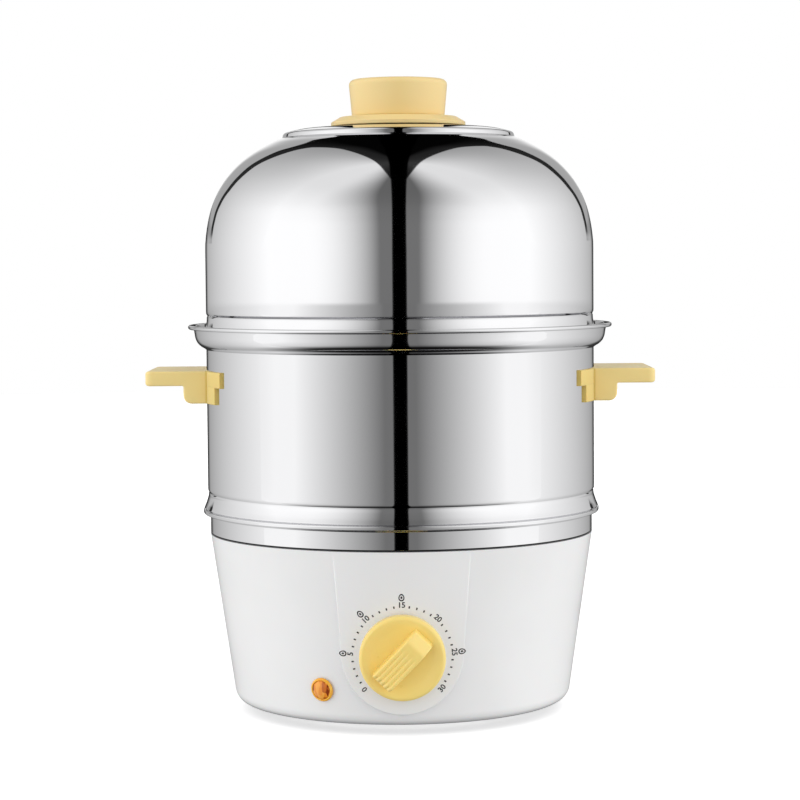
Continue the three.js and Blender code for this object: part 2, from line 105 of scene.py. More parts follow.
def rounded(points, steps=6):
    # An outline whose corner k is cut by a circular arc of the radius given third: the arc
    # touches both sides at radius / tan(half the corner angle) from the corner.
    out = []
    count = len(points)
    for k, point in enumerate(points):
        here = np.array(point[:2], float)
        radius = point[2] if len(point) > 2 else 0.0
        if radius <= 0 or k in (0, count - 1):
            out.append(here)
            continue
        before = np.array(points[k - 1][:2], float) - here
        after = np.array(points[k + 1][:2], float) - here
        la, lb = np.linalg.norm(before), np.linalg.norm(after)
        before, after = before / la, after / lb
        corner = math.acos(float(np.clip(before @ after, -1, 1)))
        if corner > math.radians(178.5):
            out.append(here)
            continue
        reach = min(radius / math.tan(corner / 2), 0.48 * la, 0.48 * lb)
        radius = reach * math.tan(corner / 2)
        start, end = here + before * reach, here + after * reach
        centre = here + (before + after) / np.linalg.norm(before + after) * radius / math.sin(corner / 2)
        t = np.linspace(0, 1, steps + 1)[:, None]
        span = math.pi - corner
        arcA, arcB = start - centre, end - centre
        out.extend(centre + (np.sin((1 - t) * span) * arcA + np.sin(t * span) * arcB) / math.sin(span))
    return np.array(out)


def spline(points, steps=8):
    # Catmull-Rom curve through the points: each span is the cubic whose end slopes are half
    # the chord between its neighbours
    p = np.asarray(points, float)
    p = np.vstack([2 * p[0] - p[1], p, 2 * p[-1] - p[-2]])
    t = np.linspace(0, 1, steps, endpoint=False)[:, None]
    out = []
    for a, b, c, d in zip(p[:-3], p[1:-2], p[2:-1], p[3:]):
        out.append(0.5 * (2 * b + (c - a) * t + (2 * a - 5 * b + 4 * c - d) * t**2
                          + (3 * b - a - 3 * c + d) * t**3))
    return np.vstack(out + [p[-2][None]])


def turned(name, profile, sides=192, sharpDeg=40.0, closed=True):
    # surface of revolution: point (r, z) goes to (r cos a, r sin a, z) for every angle a
    profile = np.asarray(profile, float)
    angle = np.linspace(0, 2 * math.pi, sides, endpoint=False) - math.pi / 2
    r, z = profile[:, 0][:, None], profile[:, 1][:, None]
    points = np.stack([r * np.cos(angle), r * np.sin(angle), z + 0 * angle], axis=-1)
    onAxis = profile[0, 0] < 1e-6 and profile[-1, 0] < 1e-6
    return gridObject(name, points, wrapRows=closed and not onAxis, wrapCols=True, sharpDeg=sharpDeg)


def inset(loop, depth):
    # a closed outline moved inwards by the depth, along the mean normal at each point
    loop = np.asarray(loop, float)
    along = np.roll(loop, -1, 0) - np.roll(loop, 1, 0)
    along /= np.linalg.norm(along, axis=1)[:, None]
    x, y = loop.T
    turn = np.sign(np.sum(x * np.roll(y, -1) - np.roll(x, -1) * y))
    return loop + depth * turn * np.stack([-along[:, 1], along[:, 0]], 1)


def swept(loop, half, edge, stretch=9, turns=6):
    # A closed outline carried along a straight path from -half to half, with both rims
    # rounded: within the edge radius of an end, at distance s from it, the outline is inset by
    # edge - sqrt(edge^2 - (edge - s)^2). Returns rows of (a, b, along).
    angle = np.linspace(0, math.pi / 2, turns + 1)
    depth = edge * (1 - np.sin(angle))
    lead = np.stack([-half + edge * (1 - np.cos(angle)), depth], 1)
    middle = np.stack([np.linspace(-half + edge, half - edge, stretch + 2)[1:-1], np.zeros(stretch)], 1)
    path = np.vstack([lead, middle, lead[::-1] * [-1, 1]])
    return np.stack([np.column_stack([inset(loop, d), np.full(len(loop), at)]) for at, d in path])


def cappedObject(name, points, sharpDeg=40.0):
    # a tube of closed outlines whose two end outlines are filled flat
    rows, cols = points.shape[:2]
    obj = newObject(name, points, gridFaces(rows, cols, wrapCols=True))
    work = bmesh.new()
    work.from_mesh(obj.data)
    bmesh.ops.holes_fill(work, edges=[e for e in work.edges if e.is_boundary], sides=0)
    bmesh.ops.triangulate(work, faces=[f for f in work.faces if len(f.verts) > 4])
    work.to_mesh(obj.data)
    work.free()
    return closeUp(obj, sharpDeg)


def merged(name, parts, sharpDeg=40.0):
    # several finished meshes as one piece
    work = bmesh.new()
    for part in parts:
        work.from_mesh(part.data)
        bpy.data.objects.remove(part)
    mesh = bpy.data.meshes.new(name)
    work.to_mesh(mesh)
    work.free()
    mesh.shade_smooth()
    mesh.set_sharp_from_angle(angle=math.radians(sharpDeg))
    obj = bpy.data.objects.new(name, mesh)
    scene.collection.objects.link(obj)
    return obj


def circle(radius, x=0.0, y=0.0, sides=48, reverse=False):
    angle = np.linspace(0, 2 * math.pi, sides, endpoint=False) * (-1 if reverse else 1)
    return np.stack([x + radius * np.cos(angle), y + radius * np.sin(angle)], 1)


def plate(name, loops, z0, z1, bevel=0.0, sharpDeg=40.0):
    # A flat plate between two levels: the first outline is its rim, the others are holes, and
    # every edge is rounded by the bevel.
    curve = bpy.data.curves.new(name, "CURVE")
    curve.dimensions = "2D"
    curve.fill_mode = "BOTH"
    curve.extrude = ((z1 - z0) / 2 - bevel) * mm
    curve.bevel_depth = bevel * mm
    curve.bevel_resolution = 3
    curve.offset = -bevel * mm
    for loop in loops:
        line = curve.splines.new("POLY")
        line.points.add(len(loop) - 1)
        line.points.foreach_set("co", np.column_stack([np.asarray(loop) * mm, np.zeros(len(loop)),
                                                       np.ones(len(loop))]).ravel())
        line.use_cyclic_u = True
    return fromCurve(name, curve, (z0 + z1) / 2, sharpDeg)


def fromCurve(name, curve, level=0.0, sharpDeg=40.0):
    # a curve or text turned into a closed mesh, lifted to the level
    source = bpy.data.objects.new(name, curve)
    scene.collection.objects.link(source)
    bpy.context.view_layer.update()
    mesh = bpy.data.meshes.new_from_object(source.evaluated_get(bpy.context.evaluated_depsgraph_get()))
    bpy.data.objects.remove(source)
    mesh.materials.clear()
    obj = bpy.data.objects.new(name, mesh)
    scene.collection.objects.link(obj)
    mesh.transform(Matrix.Translation((0, 0, level * mm)))
    return closeUp(obj, sharpDeg)


def punched(obj, cutters, sharpDeg=60.0):
    # the piece with the cutters' volumes taken away
    for cutter in cutters:
        hole = obj.modifiers.new("hole", "BOOLEAN")
        hole.operation = "DIFFERENCE"
        hole.solver = "EXACT"
        hole.object = cutter
    bpy.context.view_layer.update()
    mesh = bpy.data.meshes.new_from_object(obj.evaluated_get(bpy.context.evaluated_depsgraph_get()))
    obj.modifiers.clear()
    obj.data = mesh
    for cutter in cutters:
        bpy.data.objects.remove(cutter)
    return closeUp(obj, sharpDeg)


def place(obj, matrix):
    # put a finished mesh where the matrix says, leaving the object at the origin
    moved = matrix.copy()
    moved.translation = moved.translation * mm
    obj.data.transform(moved)
    obj.data.update()
    return obj


def facing(turn, tip, x, y, z):
    # z axis outwards from the front, turned about the vertical and tipped down, in degrees
    return (Matrix.Translation((x, y, z)) @ Matrix.Rotation(math.radians(turn), 4, "Z")
            @ Matrix.Rotation(math.radians(90 + tip), 4, "X"))


def fit(obj, body, slot, material, *nodes):
    # what every piece says: its CAD node, its body and its finish; the slot is given but not used
    obj.data.materials.clear()
    obj.data.materials.append(material)
    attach(obj, body)
    if nodes:
        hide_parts(*nodes)
    return obj


def link(tree, a, b):
    tree.links.new(a, b)


def baseMaterial(name, look):
    material = bpy.data.materials.new(name)
    material.use_nodes = True
    shader = material.node_tree.nodes["Principled BSDF"]
    shader.inputs["Metallic"].default_value = look.get("metal", 0.0)
    shader.inputs["IOR"].default_value = look.get("ior", 1.5)
    shader.inputs["Coat Weight"].default_value = look.get("coat", 0.0)
    shader.inputs["Coat Roughness"].default_value = look.get("coatRough", 0.1)
    shader.inputs["Subsurface Weight"].default_value = look.get("soft", 0.0)
    shader.inputs["Subsurface Scale"].default_value = 0.002
    shader.inputs["Transmission Weight"].default_value = look.get("clear", 0.0)
    return material, material.node_tree, shader


def objectCoords(tree, scale):
    coords = tree.nodes.new("ShaderNodeTexCoord")
    mapping = tree.nodes.new("ShaderNodeMapping")
    mapping.inputs["Scale"].default_value = scale
    link(tree, coords.outputs["Object"], mapping.inputs["Vector"])
    return mapping.outputs["Vector"]


def noise(tree, vector, scale, detail=3.0, rough=0.5):
    node = tree.nodes.new("ShaderNodeTexNoise")
    node.inputs["Scale"].default_value = scale
    node.inputs["Detail"].default_value = detail
    node.inputs["Roughness"].default_value = rough
    link(tree, vector, node.inputs["Vector"])
    return node.outputs["Fac"]


def ramp(tree, fac, stops):
    node = tree.nodes.new("ShaderNodeValToRGB")
    ends = node.color_ramp.elements
    ends[0].position, ends[0].color = stops[0][0], (*stops[0][1], 1)
    ends[1].position, ends[1].color = stops[-1][0], (*stops[-1][1], 1)
    for at, colour in stops[1:-1]:
        ends.new(at).color = (*colour, 1)
    link(tree, fac, node.inputs["Fac"])
    return node.outputs["Color"]


def remap(tree, fac, low, high):
    node = tree.nodes.new("ShaderNodeMapRange")
    node.inputs["From Min"].default_value = 0.3
    node.inputs["From Max"].default_value = 0.7
    node.inputs["To Min"].default_value = low
    node.inputs["To Max"].default_value = high
    link(tree, fac, node.inputs["Value"])
    return node.outputs["Result"]


def bump(tree, shader, height, strength, distance):
    node = tree.nodes.new("ShaderNodeBump")
    node.inputs["Strength"].default_value = strength
    node.inputs["Distance"].default_value = distance
    link(tree, height, node.inputs["Height"])
    link(tree, node.outputs["Normal"], shader.inputs["Normal"])


def shade(colour, k):
    return tuple(c * k for c in colour)


def metalFinish(name, look):
    # colour drifts a little, fine polishing lines run round the axis, smudges vary the gloss
    material, tree, shader = baseMaterial(name, {**look, "metal": 1.0})
    wide = objectCoords(tree, (1, 1, 1))
    lines = objectCoords(tree, look.get("grain", (12, 12, 900)))
    drift = noise(tree, wide, 9, 2)
    link(tree, ramp(tree, drift, [(0.3, shade(look["colour"], 0.97)), (0.7, look["colour"])]),
         shader.inputs["Base Color"])
    link(tree, remap(tree, noise(tree, wide, 34, 4), look["rough"] * 0.75, look["rough"] * 1.35),
         shader.inputs["Roughness"])
    bump(tree, shader, noise(tree, lines, 1.0, 2), look.get("lines", 0.02), 0.00002)
    return material


def shadedAlongAxis(tree, colour, axis, first, last, stops):
    # painted shade: colour times a ramp that runs along one object axis, by its distance from the centre in
    # mm
    parts = tree.nodes.new("ShaderNodeSeparateXYZ")
    link(tree, objectCoords(tree, (1000, 1000, 1000)), parts.inputs["Vector"])
    along = tree.nodes.new("ShaderNodeMapRange")
    along.inputs["From Min"].default_value = first
    along.inputs["From Max"].default_value = last
    distance = tree.nodes.new("ShaderNodeMath")
    distance.operation = "ABSOLUTE"
    link(tree, parts.outputs[axis], distance.inputs[0])
    link(tree, distance.outputs[0], along.inputs["Value"])
    product = tree.nodes.new("ShaderNodeMix")
    product.data_type = "RGBA"
    product.blend_type = "MULTIPLY"
    product.inputs[0].default_value = 1.0
    link(tree, colour, product.inputs[6])
    link(tree, ramp(tree, along.outputs[0], stops), product.inputs[7])
    return product.outputs[2]


def plasticFinish(name, look):
    # moulded plastic: faint colour drift, a fine sparkle-free grain, gloss that varies, and painted shade
    # along an axis where the finish gives it
    material, tree, shader = baseMaterial(name, look)
    wide = objectCoords(tree, (1, 1, 1))
    drift = noise(tree, wide, look.get("drift", 22), 3)
    low = look.get("low", shade(look["colour"], 0.965))
    colour = ramp(tree, drift, [(0.32, low), (0.68, look["colour"])])
    # painted shade: each ramp darkens the colour along one axis
    for axis, first, last, stops in look.get("paintedShades", ()):
        colour = shadedAlongAxis(tree, colour, axis, first, last, stops)
    link(tree, colour, shader.inputs["Base Color"])
    link(tree, remap(tree, noise(tree, wide, 60, 4), look["rough"] * 0.85, look["rough"] * 1.2),
         shader.inputs["Roughness"])
    bump(tree, shader, noise(tree, wide, look.get("grainScale", 1800), 3), look.get("grain", 0.05), 0.00005)
    return material


finishes = {
    "steel": dict(colour=(0.83, 0.83, 0.84), rough=0.035, lines=0.012),
    "zinc": dict(colour=(0.60, 0.61, 0.62), rough=0.3, lines=0.05, grain=(300, 300, 300)),
    "cast": dict(colour=(0.62, 0.63, 0.64), rough=0.48, lines=0.4, grain=(700, 700, 700)),
    "white": dict(colour=(0.87, 0.87, 0.87), rough=0.34, coat=0.4, coatRough=0.2, soft=0.05),
    "shell": dict(colour=(0.87, 0.87, 0.87), rough=0.34, coat=0.4, coatRough=0.2, soft=0.05,
                  # painted shade: near-black from z 79.5 up, the shadow in the joint with the steel above
                  paintedShades=[("Z", 78, 81, [(0, (1, 1, 1)), (0.46, (1, 1, 1)), (0.54, (0.04, 0.04, 0.045))]),
                         # painted shade: darker towards the bottom corner, a contact shadow
                         ("Z", 3, 7, [(0, (0.55, 0.55, 0.56)), (0.35, (0.72, 0.72, 0.73)),
                                      (0.8, (1, 1, 1))])]),
    "handle": dict(colour=(1.0, 0.79, 0.32), low=(0.99, 0.76, 0.30), rough=0.38, coat=0.12, soft=0.06,
                   # painted shade: the pads beside the block darker, where they turn away to the side
                   paintedShades=[("X", 80, 92, [(0, (0.84, 0.80, 0.54)), (0.5, (0.84, 0.80, 0.54)),
                                         (0.56, (1, 1, 1))])]),
    "cream": dict(colour=(0.91, 0.70, 0.31), low=(0.89, 0.67, 0.29), rough=0.38, coat=0.15, soft=0.08),
    "dial": dict(colour=(1.0, 0.78, 0.245), low=(1.0, 0.72, 0.20), rough=0.32, coat=0.2, soft=0.08, drift=9),
    "dark": dict(colour=(0.035, 0.036, 0.04), rough=0.5, grain=0.15),
    "rubber": dict(colour=(0.62, 0.62, 0.60), rough=0.7, grain=0.25),
    "sleeve": dict(colour=(0.35, 0.06, 0.04), rough=0.55, grain=0.3, grainScale=3000),
    "ink": dict(colour=(0.02, 0.02, 0.022), rough=0.5, grain=0.1),
}
metals = ("steel", "zinc", "cast")
finish = {name: (metalFinish if name in metals else plasticFinish)(name, look)
          for name, look in finishes.items()}


def glassFinish(name, colour, rough):
    # clear glass of one colour, whose gloss varies a little
    material, tree, shader = baseMaterial(name, dict(clear=0.85, ior=1.49))
    wide = objectCoords(tree, (1, 1, 1))
    shader.inputs["Base Color"].default_value = (*colour, 1)
    link(tree, remap(tree, noise(tree, wide, 90, 2), rough, rough * 2), shader.inputs["Roughness"])
    return material


def lensFinish(name, stops, look):
    # tinted lens over a fluted reflector: upright facets in several tones under a clear gloss; on the dome
    # the pale tones are painted highlights and the dark ones painted shade
    material, tree, shader = baseMaterial(name, dict(coat=0.35, coatRough=0.05, ior=1.45, **look))
    cells = tree.nodes.new("ShaderNodeTexVoronoi")
    cells.inputs["Scale"].default_value = 1.0
    link(tree, objectCoords(tree, look["cells"]), cells.inputs["Vector"])
    grey = tree.nodes.new("ShaderNodeRGBToBW")
    link(tree, cells.outputs["Color"], grey.inputs[0])
    link(tree, ramp(tree, grey.outputs[0], stops), shader.inputs["Base Color"])
    link(tree, remap(tree, noise(tree, objectCoords(tree, (1, 1, 1)), 300, 2), 0.1, 0.2),
         shader.inputs["Roughness"])
    bump(tree, shader, cells.outputs["Distance"], 0.25, 0.0002)
    return material


# the dome's amber is its own colour; its facet tones from dark brown to pale orange are painted highlights
# and shade of the reflector
finish["amber"] = lensFinish("amber", [(0.2, (0.26, 0.04, 0.004)), (0.42, (0.66, 0.17, 0.012)),
                                       (0.6, (0.9, 0.31, 0.025)),
                                       (0.8, (0.96, 0.42, 0.06))], dict(cells=(720, 720, 260)))
finish["amberRim"] = lensFinish("amberRim", [(0.2, (0.95, 0.42, 0.03)), (0.8, (1.0, 0.55, 0.06))],
                                dict(cells=(500, 500, 500)))
finish["glass"] = glassFinish("glass", (0.9, 0.92, 0.93), 0.03)
say("materials ready")


view = dict(lens=111.9, distance=1124, height=205, pitch=3.385, roll=0.45, side=-0.2)


def makeCamera():
    data = bpy.data.cameras.new("camera")
    data.lens = view["lens"]
    data.sensor_width = 36
    data.clip_start = 0.05
    camera = bpy.data.objects.new("camera", data)
    spot = Vector((view["side"] * mm, -view["distance"] * mm, view["height"] * mm))
    look = (Matrix.Rotation(math.radians(90 - view["pitch"]), 4, "X")
            @ Matrix.Rotation(math.radians(-view["roll"]), 4, "Z"))
    camera.matrix_world = Matrix.Translation(spot) @ look
    scene.collection.objects.link(camera)
    scene.camera = camera


makeCamera()


# two broad soft panels, one on each side, as seen by the steel at lid height and below it:
# dim in front, then full, then fading towards the back; turns are degrees from the front
highPanel = dict(dim=0.16, full=0.99, rise=(11, 54), ease=2.0, level=82, fall=0.0078)
lowPanel = dict(dim=0.155, full=0.92, rise=(9, 64), ease=1.0, level=78, fall=0.0075)
panelEnd = dict(cut=(157, 165), light=0.03)
# half widths, as sideways sines, of the dark gap between the panels and of the open room behind
# them, against the angle from the front over the top to the back, in degrees
gap = dict(wall=0.072, dome=0.063, pinchBy=60, flareFrom=67, flare=0.27, spreadFrom=134,
           spread=0.55, spreadBy=158, ease=1.5)
room = dict(near=0.22, far=0.485, opens=(142, 142.6), widens=(142.6, 162), ease=1.5,
            stripe=(0.052, 0.062), bright=0.95, calm=0.42, fade=(0.08, 0.24))
studio = dict(gain=1.22, diffuse=1.36, fill=0.31, overhead=(1.5, 5), gapEdge=0.006, gapGlow=0.045,
              gapCore=0.06, lidLevel=(-2.3, -1.0), ground=(-50, -12), groundLight=0.45,
              floor=(-66, -40), floorLight=0.03, highFade=(15, 55), highLight=0.74)


def eased(value, first, last, power):
    # grows from 0 at first to 1 at last: evenly for power 1, ever more slowly above it
    return 1 - (1 - np.clip((value - first) / (last - first), 0, 1)) ** power


def panelLight(turns, look):
    # from dim by the eased rise to full, less the fall per degree past level, then cut off
    light = look["dim"] + (look["full"] - look["dim"]) * eased(turns, *look["rise"], look["ease"])
    light = light - look["fall"] * np.maximum(turns - look["level"], 0)
    return light + (panelEnd["light"] - light) * eased(turns, *panelEnd["cut"], 1.0)


def gapWidth(turns):
    # the wall's width pinched to the dome's, then an even flare, then an eased spread
    width = gap["wall"] + (gap["dome"] - gap["wall"]) * eased(turns, 0, gap["pinchBy"], 1.0)
    width = width + (gap["flare"] - gap["dome"]) * eased(turns, gap["flareFrom"], gap["spreadFrom"], 1.0)
    return width + (gap["spread"] - gap["flare"]) * eased(turns, gap["spreadFrom"], gap["spreadBy"],
                                                          gap["ease"])


def roomWidth(turns):
    return room["near"] + (room["far"] - room["near"]) * eased(turns, *room["widens"], room["ease"])


def greyRamp(tree, value, turns, levels):
    # a ramp over half a turn with one grey level at each of the turns, in degrees
    return ramp(tree, value, [(float(a) / 180, (float(v),) * 3) for a, v in zip(turns, levels)])


def worldMath(tree, kind, a, b=None):
    node = tree.nodes.new("ShaderNodeMath")
    node.operation = kind
    for slot, value in enumerate((a, b)):
        if value is None:
            continue
        if isinstance(value, (int, float)):
            node.inputs[slot].default_value = value
        else:
            link(tree, value, node.inputs[slot])
    return node.outputs[0]


def smoothBetween(tree, value, low, high):
    node = tree.nodes.new("ShaderNodeMapRange")
    node.interpolation_type = "SMOOTHSTEP"
    node.inputs["From Min"].default_value = low
    node.inputs["From Max"].default_value = high
    link(tree, value, node.inputs["Value"])
    return node.outputs["Result"]


def makeStudio():
    world = bpy.data.worlds.new("studio")
    scene.world = world
    world.use_nodes = True
    tree = world.node_tree
    background = tree.nodes["Background"]
    coords = tree.nodes.new("ShaderNodeTexCoord")
    parts = tree.nodes.new("ShaderNodeSeparateXYZ")
    link(tree, coords.outputs["Generated"], parts.inputs["Vector"])
    x, y, z = parts.outputs
    ahead = worldMath(tree, "MULTIPLY", y, -1.0)
    rise = worldMath(tree, "ARCSINE", z)
    side = worldMath(tree, "ABSOLUTE", x)
    over = worldMath(tree, "ARCTAN2", worldMath(tree, "MAXIMUM", z, 0.0), ahead)
    over = worldMath(tree, "DIVIDE", over, math.pi)
    # sideways turn of a direction: about the crosswise axis in front, about the upright one behind
    slope = worldMath(tree, "SQRT", worldMath(tree, "SUBTRACT", 1.0, worldMath(tree, "MULTIPLY", x, x)))
    behind = smoothBetween(tree, over, 38 / 180, 72 / 180)
    forward = worldMath(tree, "ADD", worldMath(tree, "MULTIPLY", ahead, behind),
                        worldMath(tree, "MULTIPLY", slope, worldMath(tree, "SUBTRACT", 1.0, behind)))
    turn = worldMath(tree, "DIVIDE", worldMath(tree, "ARCTAN2", side, forward), math.pi)
    lofty = smoothBetween(tree, rise, *[math.radians(a) for a in studio["overhead"]])
    tones = []
    for look in (highPanel, lowPanel):
        turns = np.array([0, *np.linspace(*look["rise"], 12), look["level"], *panelEnd["cut"], 180.0])
        tones.append(greyRamp(tree, turn, turns, panelLight(turns, look)))
    high, low = tones
    level = smoothBetween(tree, rise, *[math.radians(a) for a in studio["lidLevel"]])
    mixed = tree.nodes.new("ShaderNodeMix")
    mixed.data_type = "RGBA"
    link(tree, level, mixed.inputs[0])
    link(tree, low, mixed.inputs[6])
    link(tree, high, mixed.inputs[7])
    turns = np.array([0, gap["pinchBy"], gap["flareFrom"],
                      *np.linspace(gap["spreadFrom"], gap["spreadBy"], 10), 180.0])
    width = greyRamp(tree, over, turns, gapWidth(turns))
    edge = studio["gapEdge"]
    panel = smoothBetween(tree, worldMath(tree, "SUBTRACT", side, width), -edge, edge)
    flat = smoothBetween(tree, side, gap["wall"] - edge, gap["wall"] + edge)
    panel = worldMath(tree, "ADD", worldMath(tree, "MULTIPLY", panel, lofty),
                      worldMath(tree, "MULTIPLY", flat, worldMath(tree, "SUBTRACT", 1.0, lofty)))
    core = smoothBetween(tree, side, studio["gapCore"] - edge, studio["gapCore"] + edge)
    core = worldMath(tree, "MULTIPLY", core, studio["gapGlow"])
    panel = worldMath(tree, "MAXIMUM", panel, core)
    above = smoothBetween(tree, rise, *[math.radians(a) for a in studio["highFade"]])
    dim = worldMath(tree, "SUBTRACT", 1.0, worldMath(tree, "MULTIPLY", above, 1 - studio["highLight"]))
    lit = worldMath(tree, "MULTIPLY", panel, dim)
    turns = np.array([0, *np.linspace(*room["widens"], 12), 180.0])
    opening = greyRamp(tree, over, turns, roomWidth(turns))
    opening = worldMath(tree, "MULTIPLY", opening,
                        smoothBetween(tree, over, *[a / 180 for a in room["opens"]]))
    seen = smoothBetween(tree, worldMath(tree, "SUBTRACT", opening, side), 0, 2 * edge)
    seen = worldMath(tree, "MULTIPLY", seen, lofty)
    faded = worldMath(tree, "MULTIPLY", smoothBetween(tree, side, *room["fade"]),
                      room["bright"] - room["calm"])
    glow = worldMath(tree, "MULTIPLY", worldMath(tree, "SUBTRACT", room["bright"], faded),
                     smoothBetween(tree, side, *room["stripe"]))
    path = tree.nodes.new("ShaderNodeLightPath")
    isDiffuse = path.outputs["Is Diffuse Ray"]
    boost = worldMath(tree, "ADD", worldMath(tree, "MULTIPLY", isDiffuse, studio["diffuse"] - 1), 1.0)
    gain = worldMath(tree, "MULTIPLY", worldMath(tree, "MULTIPLY", lit, studio["gain"]), boost)
    scaled = tree.nodes.new("ShaderNodeVectorMath")
    scaled.operation = "SCALE"
    link(tree, mixed.outputs[2], scaled.inputs[0])
    link(tree, gain, scaled.inputs["Scale"])
    inside = tree.nodes.new("ShaderNodeMix")
    inside.data_type = "RGBA"
    link(tree, seen, inside.inputs[0])
    link(tree, scaled.outputs[0], inside.inputs[6])
    link(tree, glow, inside.inputs[7])
    filled = tree.nodes.new("ShaderNodeVectorMath")
    filled.operation = "ADD"
    link(tree, inside.outputs[2], filled.inputs[0])
    link(tree, worldMath(tree, "MULTIPLY", isDiffuse, studio["fill"]), filled.inputs[1])
    ground = smoothBetween(tree, rise, *[math.radians(a) for a in studio["ground"]])
    below = worldMath(tree, "MULTIPLY", worldMath(tree, "SUBTRACT", 1.0, ground), 1 - studio["groundLight"])
    floor = smoothBetween(tree, rise, *[math.radians(a) for a in studio["floor"]])
    floor = worldMath(tree, "MULTIPLY", worldMath(tree, "SUBTRACT", 1.0, floor), 1 - studio["floorLight"])
    loss = worldMath(tree, "ADD", worldMath(tree, "MULTIPLY", below, isDiffuse),
                     worldMath(tree, "MULTIPLY", floor, worldMath(tree, "SUBTRACT", 1.0, isDiffuse)))
    kept = worldMath(tree, "SUBTRACT", 1.0, loss)
    grounded = tree.nodes.new("ShaderNodeVectorMath")
    grounded.operation = "SCALE"
    link(tree, filled.outputs[0], grounded.inputs[0])
    link(tree, kept, grounded.inputs["Scale"])
    plain = tree.nodes.new("ShaderNodeMix")
    plain.data_type = "RGBA"
    link(tree, path.outputs["Is Camera Ray"], plain.inputs[0])
    link(tree, grounded.outputs[0], plain.inputs[6])
    plain.inputs[7].default_value = (1, 1, 1, 1)
    link(tree, plain.outputs[2], background.inputs["Color"])
    scene.view_settings.view_transform = "Standard"
    scene.view_settings.look = "None"


floorDisc = dict(radius=2600.0, rings=24, sides=96, drop=0.4, colour=(0.9, 0.9, 0.9), glow=0.42)


def makeFloor():
    # round flat floor just under the feet: rings of radius r, each point (r cos a, r sin a, -drop);
    # it takes the contact shadow and stays out of the polished steel's reflections
    count, sides = floorDisc["rings"], floorDisc["sides"]
    radii = floorDisc["radius"] * (np.arange(1, count + 1) / count) ** 2
    turns = np.linspace(0, 2 * math.pi, sides, endpoint=False)
    rings = [(r * math.cos(a), r * math.sin(a), -floorDisc["drop"]) for r in radii for a in turns]
    points = [(0, 0, -floorDisc["drop"])] + rings
    faces = [(0, 1 + k, 1 + (k + 1) % sides) for k in range(sides)]
    for i in range(count - 1):
        a, b = 1 + sides * i, 1 + sides * (i + 1)
        faces += [(a + k, b + k, b + (k + 1) % sides) for k in range(sides)]
        faces += [(a + k, b + (k + 1) % sides, a + (k + 1) % sides) for k in range(sides)]
    floor = newObject("studioFloor", np.array(points, float), faces)
    material, tree, shader = baseMaterial("paleFloor", {})
    shader.inputs["Specular IOR Level"].default_value = 0.0
    shader.inputs["Emission Color"].default_value = (1, 1, 1, 1)
    shader.inputs["Emission Strength"].default_value = floorDisc["glow"]
    grain = noise(tree, objectCoords(tree, (1, 1, 1)), 40, 3)
    link(tree, ramp(tree, grain, [(0.3, shade(floorDisc["colour"], 0.99)), (0.7, floorDisc["colour"])]),
         shader.inputs["Base Color"])
    floor.data.materials.append(material)
    floor.visible_glossy = False
    floor.visible_diffuse = False
    floor.visible_shadow = False


makeStudio()
makeFloor()
say("camera, studio and floor ready")

housing = dict(bottomZ=3.5, topZ=80.0, topR=86.3, taper=8.3, corner=6.0, wall=2.5,
               collarR=84.8, collarIn=82.4, collarTop=85.0, opening=61.3)
panel = dict(taper=5.0, topHalf=29.2, arcR=26.4, arcZ=35.6, edge=0.38, rows=(9, 37))
dial = dict(y=-82.9, z=35.0, seatR=17.6, turn=46.0)
lamp = dict(turn=-26.2, z=19.0)
gland = dict(y=79.2, z=22.0)
dialFrame = facing(0, panel["taper"], 0, dial["y"], dial["z"])


def wallRadius(z):
    return housing["topR"] - (housing["topZ"] - z) * math.tan(math.radians(housing["taper"]))


def panelRadius(z):
    return housing["topR"] - 0.05 - (housing["topZ"] - z) * math.tan(math.radians(panel["taper"]))


lampTurn = math.radians(lamp["turn"])
lampFrame = facing(lamp["turn"], housing["taper"], wallRadius(lamp["z"]) * math.sin(lampTurn),
                   -wallRadius(lamp["z"]) * math.cos(lampTurn), lamp["z"])
glandFrame = facing(180, 0, 0, gland["y"], gland["z"])


def panelDistance(x, z):
    # signed distance to the U outline: below the arc's centre it is the circle's, above it
    # the distance to the nearest leaning side; negative inside
    h = panel
    lean = (h["topHalf"] - h["arcR"]) / (housing["topZ"] - h["arcZ"])
    side = np.abs(x) - (h["arcR"] + (z - h["arcZ"]) * lean)
    circle = np.hypot(x, z - h["arcZ"]) - h["arcR"]
    return np.where(z > h["arcZ"], side / math.hypot(1, lean), circle)


def housingAngles():
    # columns packed closely where the panel's edges stand, less so across it, wide elsewhere
    edge = np.arange(18.0, 20.7, 0.09)
    across = np.arange(-18.0, 18.0, 0.27)
    rest = np.linspace(20.7, 339.3, 150)
    return np.radians(np.concatenate([-edge[::-1], across, edge, rest]) - 90)


